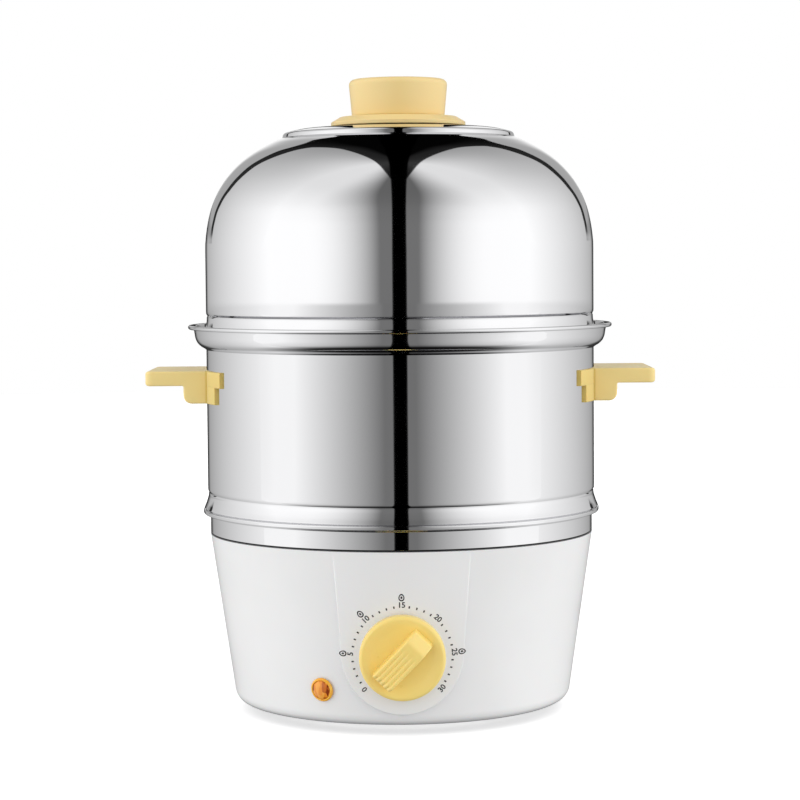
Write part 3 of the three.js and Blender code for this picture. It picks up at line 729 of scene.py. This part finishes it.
def makeHousing():
    # the wall is a profile turned about the axis; where the panel is, the radius grows to the
    # panel's own cone, blended over the edge width by a smooth step, and the inside follows it
    h = housing
    cornerZ = h["bottomZ"] + h["corner"]
    taper = math.radians(h["taper"])
    cornerR = h["topR"] - (h["corner"] + (h["topZ"] - cornerZ) * math.sin(taper)) / math.cos(taper)
    arcAngle = np.radians(np.linspace(-90, -h["taper"], 16))
    arcOut = np.stack([cornerR + h["corner"] * np.cos(arcAngle), cornerZ + h["corner"] * np.sin(arcAngle)], 1)
    low, high = panel["rows"]
    wallZ = np.concatenate([np.linspace(low, high, 112), np.linspace(high, h["topZ"] - 0.7, 22)[1:]])
    wallOut = np.stack([wallRadius(wallZ), wallZ], 1)
    rim = rounded([wallOut[-1], (h["topR"], h["topZ"], 0.6), (h["collarR"], h["topZ"], 0.2),
                   (h["collarR"], h["collarTop"], 0.4), (h["collarIn"], h["collarTop"], 0.4),
                   (h["collarIn"], h["topZ"] - 1)], 4)[1:]
    inZ = np.linspace(h["topZ"] - 3, cornerZ, 30)
    wallIn = np.stack([wallRadius(inZ) - h["wall"], inZ], 1)
    innerArc = arcAngle[::-3]
    arcIn = np.stack([cornerR + (h["corner"] - h["wall"]) * np.cos(innerArc),
                      cornerZ + (h["corner"] - h["wall"]) * np.sin(innerArc)], 1)
    lip = np.array([[h["opening"], h["bottomZ"] + h["wall"]], [h["opening"], h["bottomZ"] + 0.4],
                    [h["opening"] + 0.4, h["bottomZ"]]])
    profile = np.vstack([arcOut, wallOut, rim, wallIn, arcIn[1:], lip])
    angle = housingAngles()
    r = np.repeat(profile[:, 0][:, None], len(angle), 1)
    z = np.repeat(profile[:, 1][:, None], len(angle), 1)
    outerRows = len(arcOut) + len(wallOut)
    innerRows = np.arange(len(profile))[:, None] >= outerRows + len(rim)
    back = np.where(innerRows, h["wall"], 0.0)
    grown = panelRadius(z)
    step = np.clip(0.5 - panelDistance(grown * np.cos(angle), z) / (2 * panel["edge"]), 0, 1)
    step = step * step * (3 - 2 * step)
    rows = np.arange(len(profile))[:, None]
    counts = ((rows < outerRows) | ((rows >= outerRows + len(rim)) & (z < h["topZ"] - 2.9)))
    counts = counts & (np.sin(angle)[None, :] < 0) & (z > 6) & (grown - back > r)
    r = np.where(counts, r + (grown - back - r) * step, r)
    points = np.stack([r * np.cos(angle), r * np.sin(angle), z], axis=-1)
    shell = gridObject("housingShell", points, wrapRows=True, wrapCols=True, sharpDeg=60)
    cutters = [place(turned("shaftHole", [(0, -12), (4.2, -12), (4.2, 5), (0, 5)], 40), dialFrame),
               place(turned("lampHole", [(0, -8), (4.4, -8), (4.4, 5), (0, 5)], 40), lampFrame),
               place(turned("glandHole", [(0, -12), (6.3, -12), (6.3, 5), (0, 5)], 40), glandFrame)]
    punched(shell, cutters)
    fit(shell, "base", "white_plastic", finish["shell"], "base_housing")


def makeHousingDetails():
    # a round seat behind the dial, a boss behind the gland, the ledge that the heat shield
    # meets, and four screw posts with their ribs, all profiles turned about their own axes
    seat = place(turned("seatPart", rounded([(4.2, -2.9), (dial["seatR"], -2.9), (dial["seatR"], 0, 0.3),
                                             (4.2, 0), (4.2, -2.9)], 5), 96), dialFrame)
    boss = place(turned("bossPart", rounded([(6.3, -5), (9.5, -5), (9.5, 0, 0.5), (6.3, 0),
                                             (6.3, -5)], 5), 64),
                 glandFrame)
    ledge = turned("ledgePart", [(71, 55.6), (wallRadius(55.6) - 1.2, 55.6), (wallRadius(55.6) - 1.2, 58),
                                 (71, 58),
                                 (71, 55.6)], 128)
    parts = [seat, boss, ledge]
    for k in range(4):
        turn = Matrix.Rotation(math.radians(45 + 90 * k), 4, "Z")
        post = turned("postPart", rounded([(1.8, 6.5), (4, 6.5), (4, 24, 0.4), (1.8, 24), (1.8, 6.5)], 4), 32)
        rib = cappedObject("ribPart", swept(np.array([(55, 8.6), (75.2, 8.6), (75.2, 24), (55, 24)]), 1,
                                            0.1, 2, 1)
                           [:, :, [0, 2, 1]])
        parts += [place(post, turn @ Matrix.Translation((52, 0, 0))), place(rib, turn)]
    details = merged("housingDetails", parts)
    fit(details, "base", "white_plastic", finish["white"], "base_housing")


makeHousing()
makeHousingDetails()
say("housing made")


def makeCover():
    # bottom plate with eight slots and four screw holes, all edges softened
    loops = [circle(61, sides=160)]
    for k in range(8):
        turn = math.radians(22.5 + 45 * k)
        along = np.array([math.cos(turn), math.sin(turn)])
        across = np.array([-math.sin(turn), math.cos(turn)])
        half = np.radians(np.linspace(-90, 90, 9))
        outer = np.stack([36.4 + 1.6 * np.cos(half), 1.6 * np.sin(half)], 1)
        inner = np.stack([17.6 - 1.6 * np.cos(half), -1.6 * np.sin(half)], 1)
        slot = np.vstack([outer, inner])
        loops.append(slot[:, :1] * along + slot[:, 1:] * across)
    for k in range(4):
        turn = math.radians(45 + 90 * k)
        loops.append(circle(1.8, 52 * math.cos(turn), 52 * math.sin(turn), 20))
    cover = plate("bottomPlate", loops, 4.2, 6.2, 0.3)
    fit(cover, "base", "white_plastic", finish["white"], "bottom_cover")


def screw(name, profile, socketRows, depthR, matrix, node, body="base"):
    # a turned screw whose recess rows are pulled into a cross: the radius there follows
    # 0.4 + 0.6 cos(2a)^6 of its turned value
    profile = np.asarray(profile, float)
    sides = 64
    angle = np.linspace(0, 2 * math.pi, sides, endpoint=False)
    cross = 0.4 + 0.6 * np.cos(2 * angle) ** 6
    r = profile[:, :1] * np.ones(sides)
    r[socketRows] *= cross
    r = np.minimum(r, np.maximum(depthR, profile[:, :1]))
    points = np.stack([r * np.cos(angle), r * np.sin(angle), profile[:, 1:] + 0 * angle], -1)
    obj = place(gridObject(name, points, wrapCols=True, sharpDeg=35), matrix)
    fit(obj, body, "zinc_steel", finish["zinc"], node)


def makeFeet():
    for k in range(4):
        turn = math.radians(90 * k)
        foot = turned(f"footPad{k + 1}", rounded([(0, 0.5), (4.6, 0.5, 0.4), (5.4, 0, 0.4), (7.3, 0, 0.8),
                                                  (8, 3.9, 0.5),
                                                  (0, 3.9)], 5), 64)
        place(foot, Matrix.Translation((42 * math.cos(turn), 42 * math.sin(turn), 0)))
        fit(foot, "base", "silicone", finish["rubber"], f"foot_{k + 1}")
    for k in range(4):
        turn = math.radians(45 + 90 * k)
        spot = Matrix.Translation((52 * math.cos(turn), 52 * math.sin(turn), 0))
        profile = [(0, 3.3), (1.3, 3.2), (1.5, 2.45), (2.5, 2.42), (3.0, 2.8), (3.2, 3.3), (3.2, 3.9),
                   (1.4, 3.9),
                   (1.4, 15.6), (0, 16.8)]
        screw(f"coverScrew{k + 1}", profile, [1, 2], 1.5, spot, f"cover_screw_{k + 1}")


makeCover()
makeFeet()
say("underside made")

timerKnob = dict(radius=18.3, gripHalf=5.0, gripEdge=0.7, base=3.4, top=11.4)


def makeTimerKnob():
    # the disc is a turned profile: a shallow dish inside a flat rim, hollow behind; the grip
    # is its side outline swept across, with lengthwise grooves pressed into the top:
    # depth 0.55 (0.5 - 0.5 cos(2 pi (v + 4.2) / 2.1))^2 times a fade along the length
    k = timerKnob
    front = spline([(0, 3.85), (5, 3.87), (9.5, 3.98), (12.2, 4.3), (14.0, 4.78), (15.2, 5.1),
                    (16.2, 5.27)], 6)
    rim = rounded([(16.2, 5.27), (17.2, 5.3, 1.2), (k["radius"], 4.5, 0.8), (k["radius"], 0.4, 0.35),
                   (15.8, 0.4, 0.2),
                   (15.8, 3, 0.3), (5.4, 3, 0.3), (5.4, 0.4, 0.2), (3.4, 0.4), (3.4, 3.2), (0, 3.2)], 6)[1:]
    disc = place(turned("timerDisc", np.vstack([front, rim]), 192, 50), dialFrame)
    fit(disc, "timer_dial", "dial_plastic", finish["dial"], "timer_knob")
    side = rounded([(-12, k["base"]), (-13.6, k["base"]), (-13.45, 9.4, 2.2), (-11.6, k["top"], 2.0),
                    (8.0, k["top"], 3.5),
                    (12.9, 8.3, 1.2), (13.6, k["base"]), (-12, k["base"])], 8)[:-1]
    top = np.linspace(side[side[:, 1] > k["top"] - 0.02][:, 0].min(),
                      side[side[:, 1] > k["top"] - 0.02][:, 0].max(), 40)
    before = side[:np.argmax(side[:, 1] > k["top"] - 0.02)]
    after = side[len(side) - np.argmax(side[::-1, 1] > k["top"] - 0.02):]
    loop = np.vstack([before, np.stack([top, np.full(40, k["top"])], 1), after])
    points = swept(loop, k["gripHalf"], k["gripEdge"], 61, 5)
    u, z, v = points[..., 0], points[..., 1], points[..., 2]
    fade = np.clip((5.5 - u) / 7, 0, 1) * np.clip((z - 8.6) / 1.6, 0, 1)
    groove = (0.5 - 0.5 * np.cos(2 * math.pi * (v + 4.2) / 2.1)) ** 2
    fade = np.where(np.abs(v) < 4.2, fade, 0)
    points[..., 1] = z - 0.55 * groove * fade
    points = points[..., [0, 2, 1]]
    grip = cappedObject("timerGrip", points, 32)
    place(grip, dialFrame @ Matrix.Rotation(math.radians(dial["turn"]), 4, "Z"))
    fit(grip, "timer_dial", "dial_plastic", finish["dial"], "timer_knob")


def ontoPanel(obj, lift=0.035):
    # a flat mesh wrapped onto the panel's cone: x stays, y runs up the slope, the thickness
    # runs outwards, and the distance from the axis fixes how far forward the point lies
    mesh = obj.data
    co = np.empty(len(mesh.vertices) * 3, np.float32)
    mesh.vertices.foreach_get("co", co)
    co = co.reshape(-1, 3).astype(float) / mm
    z = dial["z"] + co[:, 1] * math.cos(math.radians(panel["taper"]))
    r = panelRadius(z) + lift + co[:, 2]
    co[:, 1] = -np.sqrt(r * r - co[:, 0] ** 2)
    co[:, 2] = z
    mesh.vertices.foreach_set("co", (co * mm).astype(np.float32).ravel())
    mesh.update()
    return closeUp(obj)


scale = dict(start=222.0, step=-43.8, labels=("0", "5", "10", "15", "20", "25", "30"), labelR=22.0,
             tickR=21.3,
             iconR=25.3, size=3.3, iconAt=(1, 2, 3, 5))


def label(text, size, angle, radius):
    # one number, centred and upright, then carried to its place round the dial
    curve = bpy.data.curves.new("label", "FONT")
    curve.body = text
    curve.size = size * mm
    curve.align_x = "CENTER"
    curve.align_y = "CENTER"
    curve.extrude = 0.02 * mm
    curve.offset = 0.07 * mm
    curve.resolution_u = 3
    part = fromCurve("label" + text, curve)
    return placeAt(part, angle, radius)


def placeAt(part, angle, radius):
    # round the dial, tops outwards in the upper part and inwards below it, as they are read
    turn = math.radians(angle)
    upright = math.pi / 2 if math.sin(turn) > -0.3 else -math.pi / 2
    return place(part, Matrix.Translation((radius * math.cos(turn), radius * math.sin(turn), 0))
                 @ Matrix.Rotation(turn - upright, 4, "Z"))


def eggMark(index):
    # an egg outline with a small yolk: its half width is 1.25 cos a (1 - 0.12 sin a), height 1.6 sin a
    angle = np.linspace(0, 2 * math.pi, 40, endpoint=False)
    ring = np.stack([1.25 * np.cos(angle) * (1 - 0.12 * np.sin(angle)), 1.6 * np.sin(angle)], 1)
    return plate(f"egg{index}", [ring, ring * 0.66, ring * 0.34], -0.02, 0.02)


def makeScale():
    parts = []
    for k, text in enumerate(scale["labels"]):
        angle = scale["start"] + scale["step"] * k
        parts.append(label(text, scale["size"], angle, scale["labelR"]))
        if k in scale["iconAt"]:
            parts.append(placeAt(eggMark(k), angle, scale["iconR"]))
        if k == len(scale["labels"]) - 1:
            continue
        for n in range(1, 5):
            tick = plate(f"tick{k}{n}", [np.array([(-0.3, -0.5), (0.3, -0.5), (0.3, 0.5), (-0.3, 0.5)])],
                         -0.02, 0.02)
            parts.append(placeAt(tick, angle + scale["step"] * n / 5, scale["tickR"]))
    printed = ontoPanel(merged("printedScale", parts))
    fit(printed, "base", "dark_plastic", finish["ink"], "base_housing")


makeTimerKnob()
makeScale()
say("dial made")


def makeLamp():
    # a clear amber dome in a flat rim, hollow behind; its facets are in the finish
    rim = turned("lampRim", rounded([(4.25, 0.45), (5.2, 0.45, 0.2), (5.2, 1.0, 0.5), (4.5, 1.75, 0.35),
                                     (4.15, 1.5, 0.2),
                                     (4.15, 0.45), (4.25, 0.45)], 5), 96)
    fit(place(rim, lampFrame), "base", "amber_lens", finish["amberRim"], "lamp_lens")
    dome = turned("lampDome", np.vstack([spline([(0, 2.6), (1.6, 2.45), (3.0, 2.0), (3.9, 1.55),
                                                 (4.1, 1.2)], 6),
                                         [(4.1, 0.4), (4, 0.2), (4, -13), (2.8, -13), (2.8, 0.2),
                                          (1.6, 0.65), (0, 0.8)]]),
                  96)
    fit(place(dome, lampFrame), "base", "amber_lens", finish["amber"], "lamp_lens")


def makeGland():
    # cord bush: a ribbed collar turned about the cord's axis
    ribs = [(6, -9), (6, 0.3), (8.4, 0.3, 0.2), (8.4, 1.5, 0.4), (7.2, 2.4, 0.5), (3.6, 2.4, 0.5),
            (3.6, -9), (6, -9)]
    bush = turned("glandBush", rounded(ribs, 5), 64)
    fit(place(bush, glandFrame), "base", "dark_plastic", finish["dark"], "cord_gland")


makeLamp()
makeGland()
say("lamp and gland made")

sheet = 0.8


def offsetInside(outline, thickness):
    # the same curve moved sideways by the thickness, along the normals worked out from
    # neighbouring points
    p = np.asarray(outline, float)
    slope = np.gradient(p, axis=0)
    slope /= np.linalg.norm(slope, axis=1)[:, None]
    normal = np.stack([-slope[:, 1], slope[:, 0]], 1)
    return p + normal * thickness


def skirt(bottomR, bottomZ, creaseZ, wallR):
    # concave flare below the pressed crease, then the crease groove itself
    flare = spline([(bottomR, bottomZ), (wallR + (bottomR - wallR) * 0.42,
                                         bottomZ + (creaseZ - bottomZ) * 0.33),
                    (wallR - 0.15, bottomZ + (creaseZ - bottomZ) * 0.72), (wallR - 0.35, creaseZ - 0.5)], 7)
    groove = spline([(wallR - 0.62, creaseZ), (wallR - 0.35, creaseZ + 0.45),
                     (wallR - 0.05, creaseZ + 1.1)], 4)
    return np.vstack([flare, groove])


tierShape = dict(bottomR=88.9, bottomZ=91.3, creaseZ=98.2, wallR=87.3, collarZ=162.6, lipR=95.4, topZ=173.3)
lidShape = dict(bottomR=89.4, bottomZ=166.2, creaseZ=177.4, wallR=87.3, wallTop=206.0, crownZ=261.6)


def makeTier():
    # turned shapes: each outline point (r, z) goes round the middle as (r cos a, r sin a, z)
    t = tierShape
    low = skirt(t["bottomR"], t["bottomZ"], t["creaseZ"], t["wallR"])
    straight = np.stack([np.full(12, t["wallR"]), np.linspace(t["creaseZ"] + 2, t["collarZ"] - 0.8, 12)], 1)
    bulge = spline([(t["wallR"], t["collarZ"] - 0.3), (88.2, 163.0), (89.7, 163.9), (91.2, 165.4),
                    (92.1, 167.3),
                    (92.5, 169.4), (92.7, 170.6)], 6)
    lip = rounded([bulge[-1], (92.9, 171.5, 0.35), (t["lipR"] - 0.1, 171.5, 0.8),
                   (t["lipR"], t["topZ"], 0.85), (92.3, t["topZ"], 0.5), (91.75, 170.6)], 8)[1:]
    outside = np.vstack([low, straight, bulge])
    inside = offsetInside(outside, sheet)
    profile = np.vstack([outside, lip, inside[::-1]])
    tier = turned("tierWall", profile, 288, 50)
    fit(tier, "tier", "polished_steel", finish["steel"], "steel_tier")


def makeLid():
    # turned shapes: each outline point (r, z) goes round the middle as (r cos a, r sin a, z)
    d = lidShape
    low = skirt(d["bottomR"], d["bottomZ"], d["creaseZ"], d["wallR"])
    straight = np.stack([np.full(6, d["wallR"]), np.linspace(d["creaseZ"] + 2, d["wallTop"], 6)], 1)
    dome = spline([(87.25, 209.5), (86.8, 214), (85.9, 219.5), (84.2, 226), (81.4, 232.5), (77.4, 238.8),
                   (72.0, 244.8), (65.6, 249.8), (58.4, 253.9), (53.9, 256.0)], 9)
    crown = rounded([dome[-1], (52.3, 256.6, 0.5), (51.7, 258.9, 1.6), (44, 260.6, 30), (30, 261.55, 20),
                     (0, d["crownZ"])], 10)[1:]
    outside = np.vstack([low, straight, dome, crown])
    inside = offsetInside(outside[:-1], sheet)
    profile = np.vstack([[0, d["crownZ"] - sheet], inside[::-1], outside])
    lid = turned("lidDome", profile, 288, 50)
    fit(lid, "lid", "polished_steel", finish["steel"], "lid_shell")


def makePan():
    # turned shapes: each outline point (r, z) goes round the middle as (r cos a, r sin a, z)
    bead = rounded([(84.9, 89.2), (84.9, 93.0, 0.4), (85.8, 93.0, 0.4), (86.0, 91.3, 0.5), (88.0, 91.05, 0.8),
                    (89.3, 90.6, 0.6), (89.3, 88.8, 0.7), (86.9, 88.5, 0.4), (86.2, 88.0, 0.5),
                    (86.2, 80.3, 0.25),
                    (85.2, 80.3, 0.25), (85.2, 87.7, 0.4), (81.9, 87.7, 0.6), (81.9, 83.4)], 6)
    dish = rounded([(0, 73), (68, 73, 6), (77, 76.4, 8), (80.9, 82.5, 6), (80.9, 88.7, 1.2), (84.9, 89.2)], 8)
    under = rounded([(81.9, 83.4), (81.5, 81.8, 5), (77.6, 75.6, 8), (68.2, 72, 6), (0, 72)], 8)
    pan = turned("steamPan", np.vstack([dish[:-1], bead, under[1:]]), 288, 50)
    fit(pan, "base", "polished_steel", finish["steel"], "heating_pan")


def makeTray():
    # perforated floor with a wall and flange turned round it
    spots = [(0, 0)] + [(ring * math.cos(2 * math.pi * k / n), ring * math.sin(2 * math.pi * k / n))
                        for ring, n in ((26, 6), (52, 12)) for k in range(n)]
    floor = plate("trayFloorPart", [circle(80.2, sides=192)] + [circle(2.6, x, y, 28) for x, y in spots],
                  157, 157 + sheet, 0.12)
    wall = turned("trayWallPart", rounded([(79.8, 157.1), (83.2, 157, 3), (85.4, 160.4, 2), (85.4, 165, 0.3),
                                           (88.3, 165, 0.25), (88.3, 165.8, 0.35), (84.6, 165.8, 0.9),
                                           (84.6, 160.4, 1.5), (82.8, 157.8, 2.4), (79.8, 157.7),
                                           (79.8, 157.1)], 6),
                  192)
    tray = merged("steamTray", [floor, wall])
    fit(tray, "tray", "polished_steel", finish["steel"], "steam_tray")


makeTier()
makeLid()
makePan()
makeTray()
say("steel made")

rackShape = dict(radius=79.8, thick=2.5, legs=12.7, socketR=19.5, ringR=50.0, legRing=64.0)


def makeRack(name, level, body, node):
    # a plate with seven round sockets, each in a turned collar, on six tapered legs
    s = rackShape
    top = s["legs"] + s["thick"]
    sockets = [(0.0, 0.0)] + [(s["ringR"] * math.cos(math.radians(60 * k)),
                               s["ringR"] * math.sin(math.radians(60 * k))) for k in range(6)]
    parts = [plate("rackPlatePart", [circle(s["radius"], sides=192)]
                   + [circle(s["socketR"] + 0.6, x, y, 64) for x, y in sockets], s["legs"], top, 0.5)]
    for x, y in sockets:
        collar = turned("collarPart", rounded([(s["socketR"], s["legs"] - 2.9),
                                               (s["socketR"] + 2, s["legs"] - 2.9, 0.5),
                                               (s["socketR"] + 2, top - 0.05, 0.2),
                                               (s["socketR"] + 0.3, top - 0.05, 0.8),
                                               (s["socketR"], top - 1.4, 0.8),
                                               (s["socketR"], s["legs"] - 2.9)], 4), 64)
        parts.append(place(collar, Matrix.Translation((x, y, 0))))
    for k in range(6):
        turn = math.radians(30 + 60 * k)
        leg = turned("legPart", rounded([(0, 0.02), (2.9, 0.02, 0.6), (3.5, s["legs"] + 1, 0.2),
                                         (0, s["legs"] + 1)], 4), 32)
        parts.append(place(leg, Matrix.Translation((s["legRing"] * math.cos(turn),
                                                    s["legRing"] * math.sin(turn), 0))))
    rack = place(merged(name, parts), Matrix.Translation((0, 0, level)))
    fit(rack, body, "cream_plastic", finish["cream"], node)


makeRack("lowerRack", 73.3, "lower_rack", "lower_egg_rack")
makeRack("upperRack", 158.1, "upper_rack", "upper_egg_rack")
say("racks made")

handle = dict(tipX=113.0, stepX=96.1, halfY=25.0, z0=139.0, z1=146.9, z2=153.4, innerR=87.6, padR=89.6,
              edge=0.9, tipCorner=2.4, wallR=87.12, seamAt=26.0, seamWidth=0.6)


def makeHandle(name, node, turn):
    # the block is its stepped side outline swept across; where the plan narrows at the tips
    # the outline is held back to the corner's arc, and its inner end follows the wall; the
    # pads are a section swept round the wall, with a seam pressed in beside the block
    h = handle
    loop = rounded([(78, h["z1"]), (78, h["z0"]), (h["stepX"], h["z0"], 3.6), (h["stepX"], h["z1"] - 0.4, 0),
                    (h["stepX"] + 0.5, h["z1"], 0), (h["tipX"], h["z1"], 1.3), (h["tipX"], h["z2"], 1.3),
                    (78, h["z2"]), (78, h["z1"])], 6)[:-1]
    points = swept(loop, h["halfY"], h["edge"], 41, 6)
    x, z, y = points[..., 0], points[..., 1], points[..., 2]
    beyond = np.clip(np.abs(y) - (h["halfY"] - h["tipCorner"]), 0, h["tipCorner"])
    tip = h["tipX"] - (h["tipCorner"] - np.sqrt(h["tipCorner"] ** 2 - beyond ** 2))
    shift = np.clip((x - h["stepX"] - 2) / (h["tipX"] - h["stepX"] - 2), 0, 1)
    x = x - shift * (h["tipX"] - tip)
    hug = np.sqrt((h["innerR"] + 0.9) ** 2 - y ** 2)
    x = np.maximum(x, hug)
    block = cappedObject("blockPart", np.stack([x, y, z], -1))
    parts = [block]
    for z0, z1, half in ((h["z1"] - 0.5, h["z2"], 28.4), (h["z0"], h["z1"], 24.6)):
        section = rounded([(h["wallR"], (z0 + z1) / 2), (h["wallR"], z0), (h["padR"], z0, 0.5),
                           (h["padR"], z1, 0.5), (h["wallR"], z1), (h["wallR"], (z0 + z1) / 2)], 5)[:-1]
        pad = swept(section, math.radians(half) * h["padR"], 0.25, 181, 5)
        angle = pad[..., 2] / h["padR"]
        seam = np.exp(-((np.abs(pad[..., 2]) - h["seamAt"]) / h["seamWidth"]) ** 2)
        pad[..., 0] -= seam * np.clip(pad[..., 0] - h["wallR"] - 0.4, 0, None) * 0.9
        parts.append(cappedObject("padPart", np.stack([pad[..., 0] * np.cos(angle),
                                                       pad[..., 0] * np.sin(angle),
                                                       pad[..., 1]], -1)))
    grip = place(merged(name, parts), Matrix.Rotation(math.radians(turn), 4, "Z"))
    fit(grip, "tier", "cream_plastic", finish["handle"], node)
    grip.visible_glossy = False


makeHandle("rightHandle", "right_handle", 0)
makeHandle("leftHandle", "left_handle", 180)
say("handles made")

lidKnob = dict(discR=30.2, discZ=261.9, discTop=266.0, neckR=20.8, topR=22.3, bottom=266.3, top=282.8)


def makeLidKnob():
    # turned shapes: each outline point (r, z) goes round the middle as (r cos a, r sin a, z)
    k = lidKnob
    disc = turned("knobBaseDisc", rounded([(0, k["discZ"]), (k["discR"], k["discZ"], 0.4),
                                           (k["discR"], 263.6, 0.5),
                                           (26.2, k["discTop"], 0.8), (0, k["discTop"])], 6), 192)
    fit(disc, "lid", "cream_plastic", finish["cream"], "knob_base")
    body = turned("lidKnobBody", rounded([(0, k["bottom"]), (k["neckR"], k["bottom"], 0.4),
                                          (k["topR"], k["top"], 2.6),
                                          (0, k["top"])], 10), 192)
    fit(body, "lid", "cream_plastic", finish["cream"], "lid_knob")


makeLidKnob()
say("lid knob made")

slotFinish = dict(polished_steel="steel", zinc_steel="zinc", cast_aluminium="cast", white_plastic="white",
                  cream_plastic="cream", dial_plastic="dial", amber_lens="amber", lamp_glass="glass",
                  silicone="rubber", dark_plastic="dark", wire_sleeve="sleeve")


def dressFrameNodes():
    # the CAD nodes still shown take the finish of their slot
    slots = {part["node"]: part["material_slot"] for part in frame["record"]["subparts"]}
    for name, node in frame["nodes"].items():
        node.data.materials.clear()
        node.data.materials.append(finish[slotFinish[slots[name]]])


dressFrameNodes()
